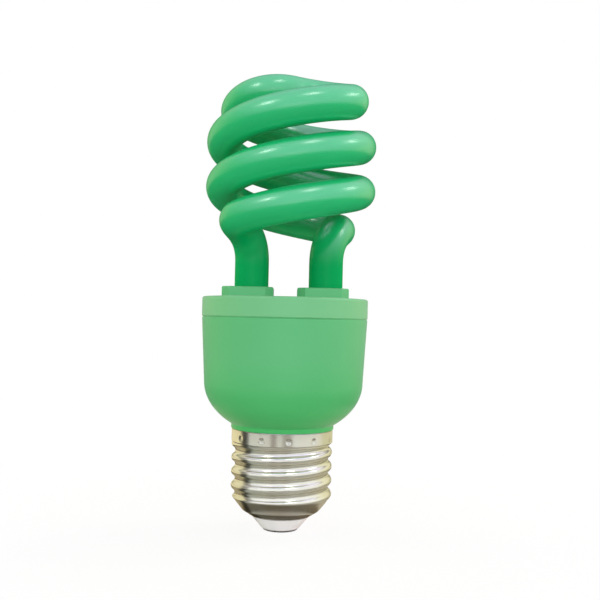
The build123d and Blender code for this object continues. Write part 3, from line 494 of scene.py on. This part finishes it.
# Inner parts, hidden by the closed housing: where bodies end and bare leads begin, and where bands
# and stripes lie, in millimetres
board = {"stripeMiddle": 5.8, "stripeHalf": 1.3, "filmTop": 44.02, "transistorTop": 41.81,
         "diodeMiddle": -8.5, "diodeHalf": 2.6, "diodeBand": (1.3, 2.0),
         "resistorHalf": 3.0, "resistorShift": 0.3, "resistorRow": 11.0, "resistorBandHalf": 0.32,
         "resistorBands": ((-1.9, srgb(150, 60, 28)), (-0.8, srgb(28, 26, 26)), (0.3, srgb(210, 120, 30)),
                           (1.9, srgb(178, 142, 52))),
         "diacHalf": 1.9, "fuseTop": 43.21, "fuseLow": 35.19, "thermistorTop": 43.41,
         "chokeWire": 0.25, "inductorWire": 0.3}


# Cement round the legs: dry and grainy
def cementWhite():
    finish = Finish("cementWhite")
    place = finish.place()
    grain = finish.noise(place, 700.0, 5.0)
    return finish.done({
        "Base Color": finish.blend(grain, srgb(196, 188, 172), srgb(236, 230, 216)), "Roughness": 0.85,
        "Normal": finish.bump(grain, 0.0003, 0.7)})


# Filament wires and their posts
def tinnedWire():
    finish = Finish("tinnedWire")
    grain = finish.noise(finish.place(), 1500.0, 3.0)
    return finish.done({
        "Base Color": finish.blend(grain, srgb(176, 174, 168), srgb(214, 212, 206)), "Metallic": 1.0,
        "Roughness": 0.28 + grain * 0.2, "Normal": finish.bump(grain, 0.00004, 0.4)})


# Board: brown paper whose fibres run along X
def boardPaper():
    finish = Finish("boardPaper")
    place = finish.place()
    fibre = finish.noise(finish.scaled(place, (300.0, 2600.0, 300.0)), 1.0, 4.0)
    cloud = finish.noise(place, 120.0)
    colour = finish.blend(fibre * 0.6 + cloud * 0.4, srgb(150, 104, 52), srgb(196, 148, 84))
    return finish.done({
        "Base Color": colour, "Roughness": 0.5 + fibre * 0.2, "Normal": finish.bump(fibre, 0.00006, 0.5)})


# Cores: grey, grained and pitted
def ferrite():
    finish = Finish("ferrite")
    place = finish.place()
    grain, pits = finish.noise(place, 1800.0, 4.0), finish.cells(place, 900.0)
    return finish.done({
        "Base Color": finish.blend(grain, srgb(48, 49, 52), srgb(78, 79, 82)),
        "Roughness": 0.55 + grain * 0.25, "Normal": finish.bump(grain * 0.5 + pits * 0.5, 0.0001, 0.5)})


# Bobbin: a fine-grained moulding
def bobbinBlack():
    finish = Finish("bobbinBlack")
    grain = finish.noise(finish.place(), 2200.0, 3.0)
    return finish.done({
        "Base Color": finish.blend(grain, srgb(24, 24, 25), srgb(38, 38, 40)),
        "Roughness": 0.42 + grain * 0.2, "Normal": finish.bump(grain, 0.00005, 0.5)})


# Winding: turns of wire side by side, as ribs |sin(pi z / d)| that repeat every wire diameter d
def copperTurns(name, wire):
    finish = Finish(name)
    place = finish.place()
    up = finish.parts(place)[2]
    rib = (up * (pi / (wire * mm))).wave().size()
    cloud = finish.noise(place, 400.0)
    colour = finish.blend(rib * 0.7 + cloud * 0.3, srgb(96, 44, 20), srgb(206, 116, 60))
    return finish.done({
        "Base Color": colour, "Metallic": 0.85, "Roughness": 0.24 + cloud * 0.12, "Coat Weight": 0.6,
        "Coat Roughness": 0.12, "Normal": finish.bump(rib, wire * mm / 2, 0.8)})


# Wires of the toroid: lacquered copper
def copperWire():
    finish = Finish("copperWire")
    cloud = finish.noise(finish.place(), 900.0)
    return finish.done({
        "Base Color": finish.blend(cloud, srgb(164, 82, 40), srgb(204, 112, 58)), "Metallic": 0.9,
        "Roughness": 0.22 + cloud * 0.12, "Coat Weight": 0.7, "Coat Roughness": 0.1})


# Electrolytic can: a dark sleeve with one pale stripe on the side of its cathode
def canSleeve():
    finish = Finish("canSleeve")
    place = finish.place()
    across, deep = finish.parts(place)[:2]
    stripe = ((across - board["stripeMiddle"] * mm).size() < board["stripeHalf"] * mm) * (deep < 0.0)
    cloud = finish.noise(place, 160.0)
    colour = finish.blend(stripe, finish.blend(cloud, srgb(18, 24, 52), srgb(26, 34, 70)), (0.5, 0.52, 0.56))
    return finish.done({
        "Base Color": colour, "Roughness": 0.3 + cloud * 0.1, "Normal": finish.bump(cloud, 0.0001, 0.4)})


# Film capacitors: dipped bodies with bare leads above them
def capacitorDip():
    finish = Finish("capacitorDip")
    place = finish.place()
    lead = finish.parts(place)[2] > board["filmTop"] * mm
    cloud = finish.noise(place, 260.0, 4.0)
    body = finish.blend(cloud, srgb(140, 40, 20), srgb(172, 62, 34))
    return finish.leaded(lead, body, 0.26, finish.bump(cloud, 0.0002, 0.5))


# Transistors: dull mouldings with bare leads above them
def transistorBlack():
    finish = Finish("transistorBlack")
    place = finish.place()
    lead = finish.parts(place)[2] > board["transistorTop"] * mm
    grain = finish.noise(place, 2400.0, 2.0)
    return finish.leaded(lead, finish.blend(grain, srgb(24, 24, 26), srgb(40, 40, 42)), 0.5,
                         finish.bump(grain, 0.00005, 0.5))


# Lying diodes with one pale band each; along is the way from the middle of their row
def diodeBlack():
    finish = Finish("diodeBlack")
    place = finish.place()
    along = finish.parts(place)[0] - board["diodeMiddle"] * mm
    low, high = board["diodeBand"]
    band = (along > low * mm) * (along < high * mm)
    cloud = finish.noise(place, 500.0)
    body = finish.blend(band, finish.blend(cloud, srgb(20, 20, 22), srgb(34, 34, 36)), srgb(188, 188, 186))
    lead = along.size() > board["diodeHalf"] * mm
    return finish.leaded(lead, body, 0.35, finish.bump(cloud, 0.00006, 0.4))


# Lying resistors with four bands each; the inner row stands a little further along
def resistorBody():
    finish = Finish("resistorBody")
    place = finish.place()
    across, deep = finish.parts(place)[:2]
    along = across - (deep.size() < board["resistorRow"] * mm) * board["resistorShift"] * mm
    body = finish.blend(finish.noise(place, 500.0), srgb(196, 160, 106), srgb(218, 184, 130))
    for middle, colour in board["resistorBands"]:
        body = finish.blend((along - middle * mm).size() < board["resistorBandHalf"] * mm, body, colour)
    normal = finish.bump(finish.noise(place, 700.0), 0.00006, 0.4)
    return finish.leaded(along.size() > board["resistorHalf"] * mm, body, 0.32, normal)


# Diac: blue glass between its leads
def diacGlass():
    finish = Finish("diacGlass")
    place = finish.place()
    cloud = finish.noise(place, 800.0)
    body = finish.blend(cloud, srgb(40, 78, 150), srgb(64, 104, 178))
    lead = finish.parts(place)[1].size() > board["diacHalf"] * mm
    return finish.leaded(lead, body, 0.15, finish.bump(cloud, 0.00004, 0.3))


# Fuse resistor: cement between its leads
def fuseCement():
    finish = Finish("fuseCement")
    place = finish.place()
    up = finish.parts(place)[2]
    lead = (up > board["fuseTop"] * mm).most(up < board["fuseLow"] * mm)
    grain = finish.noise(place, 900.0, 4.0)
    return finish.leaded(lead, finish.blend(grain, srgb(96, 122, 98), srgb(122, 148, 120)), 0.7,
                         finish.bump(grain, 0.00015, 0.6))


# Thermistor: a dipped disc with bare leads above it
def thermistorDisc():
    finish = Finish("thermistorDisc")
    place = finish.place()
    cloud = finish.noise(place, 400.0, 4.0)
    lead = finish.parts(place)[2] > board["thermistorTop"] * mm
    return finish.leaded(lead, finish.blend(cloud, srgb(44, 52, 44), srgb(66, 76, 62)), 0.4,
                         finish.bump(cloud, 0.00015, 0.5))


# Leads of the cap: smooth sleeves
def leadSleeve(name, dark, pale):
    finish = Finish(name)
    cloud = finish.noise(finish.place(), 600.0)
    return finish.done({
        "Base Color": finish.blend(cloud, dark, pale), "Roughness": 0.38 + cloud * 0.12,
        "Normal": finish.bump(cloud, 0.00005, 0.4)})


# CAD nodes whose shape is right keep it and get a finish
def dress(material, *names):
    for name in names:
        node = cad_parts[name]
        node.data.materials.clear()
        node.data.materials.append(material)


dress(mouldedGreen(), "ballast_housing", "tube_cover")
dress(insulatorGrey(), "tip_insulator")
dress(contactNickel(), "centre_contact")
dress(cementWhite(), "tube_cement")
dress(tinnedWire(), "filament_leads", "wire_posts")
dress(boardPaper(), "circuit_board")
dress(ferrite(), "choke_core_upper", "choke_core_lower", "toroid_core", "inductor_core")
dress(bobbinBlack(), "choke_bobbin")
dress(copperTurns("chokeTurns", board["chokeWire"]), "choke_winding")
dress(copperTurns("inductorTurns", board["inductorWire"]), "inductor_winding")
dress(copperWire(), "toroid_windings")
dress(canSleeve(), "bulk_capacitor")
dress(capacitorDip(), "resonant_capacitor", "coupling_capacitor")
dress(transistorBlack(), "transistors")
dress(diodeBlack(), "rectifier_diodes")
dress(resistorBody(), "resistors")
dress(diacGlass(), "diac")
dress(fuseCement(), "fuse_resistor")
dress(thermistorDisc(), "thermistor")
dress(leadSleeve("leadRed", srgb(150, 24, 20), srgb(182, 40, 32)), "live_lead")
dress(leadSleeve("leadBlack", srgb(22, 22, 24), srgb(40, 40, 42)), "shell_lead")
print("finishes made")


# Studio: white for the camera, plain light for the surfaces, and coloured surrounds for the gloss.
# A list of sides gives a surround's light at places round the object, as shares of a turn: 0.5 is at
# the camera, and they grow towards +X. The low surround lights the cap from the side, the ceiling
# from just above, and the dark lid on the ceiling keeps both from the glass. rings is the floor's
# light at shares of ringReach from the axis. Lengths are in metres, and domeTop is in degrees.
studio = {
    "levelLow": 1.27, "levelHigh": 0.5,
    "floorHalf": 3.0, "floorWhite": 0.87, "floorMatt": 0.98, "floorLight": 0.7,
    "shadowStart": 0.02, "shadowReach": 0.13, "floorNear": 0.045, "floorFar": (0.035, 0.04, 0.03),
    "floorSides": [
        (0.0, (0.44, 0.37, 0.25)), (0.222, (0.5, 0.43, 0.3)), (0.243, (0.09, 0.08, 0.06)),
        (0.28, (0.08, 0.08, 0.08)), (0.305, (0.6, 0.61, 0.62)), (0.42, (0.56, 0.55, 0.55)),
        (0.5, (0.51, 0.49, 0.49)), (0.6, (0.56, 0.55, 0.55)), (0.74, (0.62, 0.58, 0.5)),
        (1.0, (0.44, 0.37, 0.25))],
    "ringReach": 0.02,
    "rings": [
        (0.0, (0.5, 0.5, 0.5)), (0.3, (0.26, 0.24, 0.2)), (0.515, (0.26, 0.24, 0.2)),
        (0.54, (1.4, 1.4, 1.4)), (0.56, (1.2, 1.2, 1.2)), (0.585, (0.28, 0.26, 0.22)),
        (0.72, (0.42, 0.38, 0.32)), (0.8, (1.0, 1.0, 1.0)), (1.0, (1.0, 1.0, 1.0))],
    "lowRadius": 0.09, "lowHeight": 0.019,
    "lowSides": [
        (0.0, (0.3, 0.27, 0.16)), (0.09, (0.95, 0.83, 0.52)), (0.215, (1.1, 0.98, 0.63)),
        (0.24, (0.1, 0.09, 0.07)), (0.262, (0.03, 0.03, 0.03)), (0.282, (0.12, 0.12, 0.12)),
        (0.302, (0.86, 0.88, 0.86)), (0.40, (0.84, 0.84, 0.82)), (0.43, (0.86, 0.84, 0.82)),
        (0.442, (0.37, 0.33, 0.29)), (0.465, (0.45, 0.42, 0.38)), (0.476, (0.86, 0.87, 0.84)),
        (0.498, (0.84, 0.85, 0.82)), (0.51, (0.47, 0.45, 0.4)), (0.548, (0.53, 0.51, 0.46)),
        (0.572, (1.0, 1.02, 1.02)), (0.74, (1.0, 0.98, 0.9)), (0.78, (0.85, 0.82, 0.57)),
        (0.9, (0.8, 0.74, 0.48)), (1.0, (0.3, 0.27, 0.16))],
    "lidInner": 0.0235, "lidOuter": 0.1, "lidHeight": 0.0275, "lidGap": 0.001,
    "lidSides": [(0.0, (0.03, 0.04, 0.03)), (1.0, (0.03, 0.04, 0.03))],
    "ceilingSides": [
        (0.0, (0.5, 0.44, 0.28)), (0.1, (0.95, 0.85, 0.56)), (0.22, (1.0, 0.92, 0.64)),
        (0.245, (0.3, 0.28, 0.24)), (0.285, (0.35, 0.34, 0.34)), (0.31, (1.15, 1.18, 1.22)),
        (0.7, (1.18, 1.2, 1.22)), (0.8, (1.1, 1.05, 0.8)), (0.9, (0.9, 0.82, 0.55)),
        (1.0, (0.5, 0.44, 0.28))],
    "domeRadius": 1.5, "domeTop": 89.1,
    "domeSides": [
        (0.0, (0.04, 0.06, 0.03)), (0.04, (0.04, 0.06, 0.03)), (0.13, (0.75, 0.72, 0.48)),
        (0.28, (0.17, 0.16, 0.1)), (0.4, (0.32, 0.3, 0.33)), (0.6, (0.32, 0.3, 0.33)),
        (0.72, (0.5, 0.48, 0.35)), (0.86, (0.95, 0.92, 0.62)), (0.93, (0.04, 0.06, 0.03)),
        (1.0, (0.04, 0.06, 0.03))],
    "skyAxis": (0.22, -0.52, 0.83), "skyLow": -0.15, "skyHigh": 0.88, "sky": (1.34, 1.26, 1.78),
    "surroundColumns": 96, "lowRows": 3, "lidRows": 4, "domeRows": 24}

# Lamps on spheres round the middle of the object, lampMiddle above the floor: place round it from
# the camera's side towards +X and height, both in degrees, distance and size in metres, power,
# colour, and what they light: gloss or matt
lampMiddle = 0.06
lamps = {"leftLamp": (-44, 44, 1.0, (0.2, 0.12), 1.15, (1.0, 1.0, 1.0), "gloss"),
         "middleLamp": (28, 62, 1.0, (0.2, 0.12), 0.9, (1.0, 1.0, 1.0), "gloss"),
         "rightLamp": (92, 37, 1.0, (0.2, 0.12), 0.7, (1.0, 1.0, 1.0), "gloss"),
         "backLamp": (121, 44, 1.0, (0.3, 0.3), 1.6, (1.0, 1.0, 1.0), "matt"),
         "frontLamp": (5, 2, 1.2, (0.8, 0.3), 5.2, (1.0, 1.0, 1.0), "matt"),
         "leftFill": (-108, 12, 1.0, (0.5, 0.5), 3.2, (0.97, 0.9, 0.5), "matt"),
         "rightFill": (108, 12, 1.0, (0.5, 0.5), 4.0, (1.0, 0.58, 0.45), "matt")}


# World: white where it is seen or mirrored, else plain light of the strength
# levelLow + z (levelHigh - levelLow), where z is 0 at the horizon and below and 1 overhead
def makeWorld():
    finish = Finish("studio", bpy.data.worlds)
    up = finish.parts(finish.node("ShaderNodeTexCoord", {}, {}, "Generated"))[2].most(0.0)
    level = up * (studio["levelHigh"] - studio["levelLow"]) + studio["levelLow"]
    plain = finish.node("ShaderNodeBackground", {}, {"Color": (1, 1, 1, 1), "Strength": level})
    white = finish.node("ShaderNodeBackground", {}, {"Color": (1, 1, 1, 1), "Strength": 1.0})
    seen = finish.ray("Is Camera Ray").most(finish.ray("Is Glossy Ray"))
    seen = seen.most(finish.ray("Is Transmission Ray"))
    mixed = finish.node("ShaderNodeMixShader", {}, {0: seen, 1: plain, 2: white})
    scene.world = finish.shown(mixed, "ShaderNodeOutputWorld")


# Floor: white to the camera, a little less so near the object, where its shadow falls. To gloss it
# shows the sides near the cap and dark further out. Distance is the root of x squared plus y squared.
def floorFinish():
    finish = Finish("floorFinish")
    across, deep = finish.parts(finish.place())[:2]
    away = (across * across + deep * deep) ** 0.5
    whiteness = finish.between(away, studio["shadowStart"], studio["shadowReach"], studio["floorWhite"], 1.0)
    white = finish.node("ShaderNodeEmission", {}, {"Color": (1, 1, 1, 1), "Strength": 1.0})
    matt = finish.node("ShaderNodeBsdfDiffuse", {}, {"Color": (*[studio["floorMatt"]] * 3, 1.0)})
    near = finish.node("ShaderNodeMix", {"data_type": "RGBA", "blend_type": "MULTIPLY"}, {
        0: 1.0, 6: finish.ramp(finish.azimuth(across, deep), studio["floorSides"]),
        7: finish.ramp(away / studio["ringReach"], studio["rings"])}, 2)
    far = finish.between(away, studio["floorNear"], studio["lowRadius"])
    mirrored = finish.blend(far, near, studio["floorFar"])
    under = finish.blend(finish.ray("Is Glossy Ray"), (studio["floorLight"],) * 3, mirrored)
    stone = finish.node("ShaderNodeBsdfDiffuse", {}, {"Color": under})
    shown = finish.node("ShaderNodeMixShader", {}, {0: whiteness, 1: matt, 2: white})
    seen = finish.ray("Is Camera Ray")
    return finish.shown(finish.node("ShaderNodeMixShader", {}, {0: seen, 1: stone, 2: shown}))


def makeFloor():
    mesh = bpy.data.meshes.new("floor")
    half = studio["floorHalf"]
    corners = [(-half, -half, 0), (half, -half, 0), (half, half, 0), (-half, half, 0)]
    mesh.from_pydata(corners, [], [(0, 1, 2, 3)])
    mesh.materials.append(floorFinish())
    floor = bpy.data.objects.new("floor", mesh)
    scene.collection.objects.link(floor)


# Light of a surround that only gloss sees: its sides by the place round the object and, if it has
# one, a pale sky that grows with the way's share along the sky's axis, (x, y, z) . axis / radius
def surroundFinish(name, sides, sky):
    finish = Finish(name)
    across, deep, up = finish.parts(finish.place())
    colour = finish.ramp(finish.azimuth(across, deep), sides)
    if sky:
        axis = studio["skyAxis"]
        towards = (across * axis[0] + deep * axis[1] + up * axis[2]) / studio["domeRadius"]
        colour = finish.blend(finish.between(towards, studio["skyLow"], studio["skyHigh"]), colour, sky)
    return finish.shown(finish.node("ShaderNodeEmission", {}, {"Color": colour, "Strength": 1.0}))


# Surround: a ring of points (r cos t, r sin t, z) at each radius r and height z
def makeSurround(name, radii, heights, sides, sky=None):
    angles = np.linspace(0, 2 * pi, studio["surroundColumns"], endpoint=False)[None, :]
    radii, heights = radii[:, None], heights[:, None]
    points = np.stack([radii * np.cos(angles), radii * np.sin(angles), heights + 0 * angles], axis=-1)
    surround = gridPiece(name, points)
    surround.data.materials.append(surroundFinish(name + "Finish", sides, sky))
    surround.visible_camera = surround.visible_diffuse = surround.visible_shadow = False
    surround.visible_transmission = False


# A lamp's way out is (sin a cos h, -cos a cos h, sin h) for its place a and height h
def makeLamp(name, azimuth, height, distance, size, power, colour, lights):
    side, up = radians(azimuth), radians(height)
    away = Vector((np.sin(side) * np.cos(up), -np.cos(side) * np.cos(up), np.sin(up)))
    data = bpy.data.lights.new(name, "AREA")
    data.shape, data.size, data.size_y = "RECTANGLE", size[0], size[1]
    data.energy, data.color = power, colour
    lamp = bpy.data.objects.new(name, data)
    scene.collection.objects.link(lamp)
    lamp.location = Vector((0, 0, lampMiddle)) + away * distance
    lamp.rotation_mode = "QUATERNION"
    lamp.rotation_quaternion = away.to_track_quat("Z", "Y")
    lamp.visible_diffuse, lamp.visible_glossy = lights == "matt", lights == "gloss"


# The low surround is a wall, lid and ceiling are flat rings over it, and the dome is a half sphere
def makeSurrounds():
    lowHeights = np.linspace(0, studio["lowHeight"], studio["lowRows"])
    lowRadii = np.full_like(lowHeights, studio["lowRadius"])
    makeSurround("lowSurround", lowRadii, lowHeights, studio["lowSides"])
    lidRadii = np.linspace(studio["lidInner"], studio["lidOuter"], studio["lidRows"])
    lidHeights = np.full_like(lidRadii, studio["lidHeight"])
    makeSurround("lid", lidRadii, lidHeights, studio["lidSides"])
    makeSurround("ceiling", lidRadii, lidHeights - studio["lidGap"], studio["ceilingSides"])
    turns, radius = np.linspace(0, radians(studio["domeTop"]), studio["domeRows"]), studio["domeRadius"]
    makeSurround("dome", radius * np.cos(turns), radius * np.sin(turns), studio["domeSides"], studio["sky"])


makeWorld()
makeFloor()
makeSurrounds()
for name, facts in lamps.items():
    makeLamp(name, *facts)
scene.view_settings.view_transform = "Standard"
print("studio made")
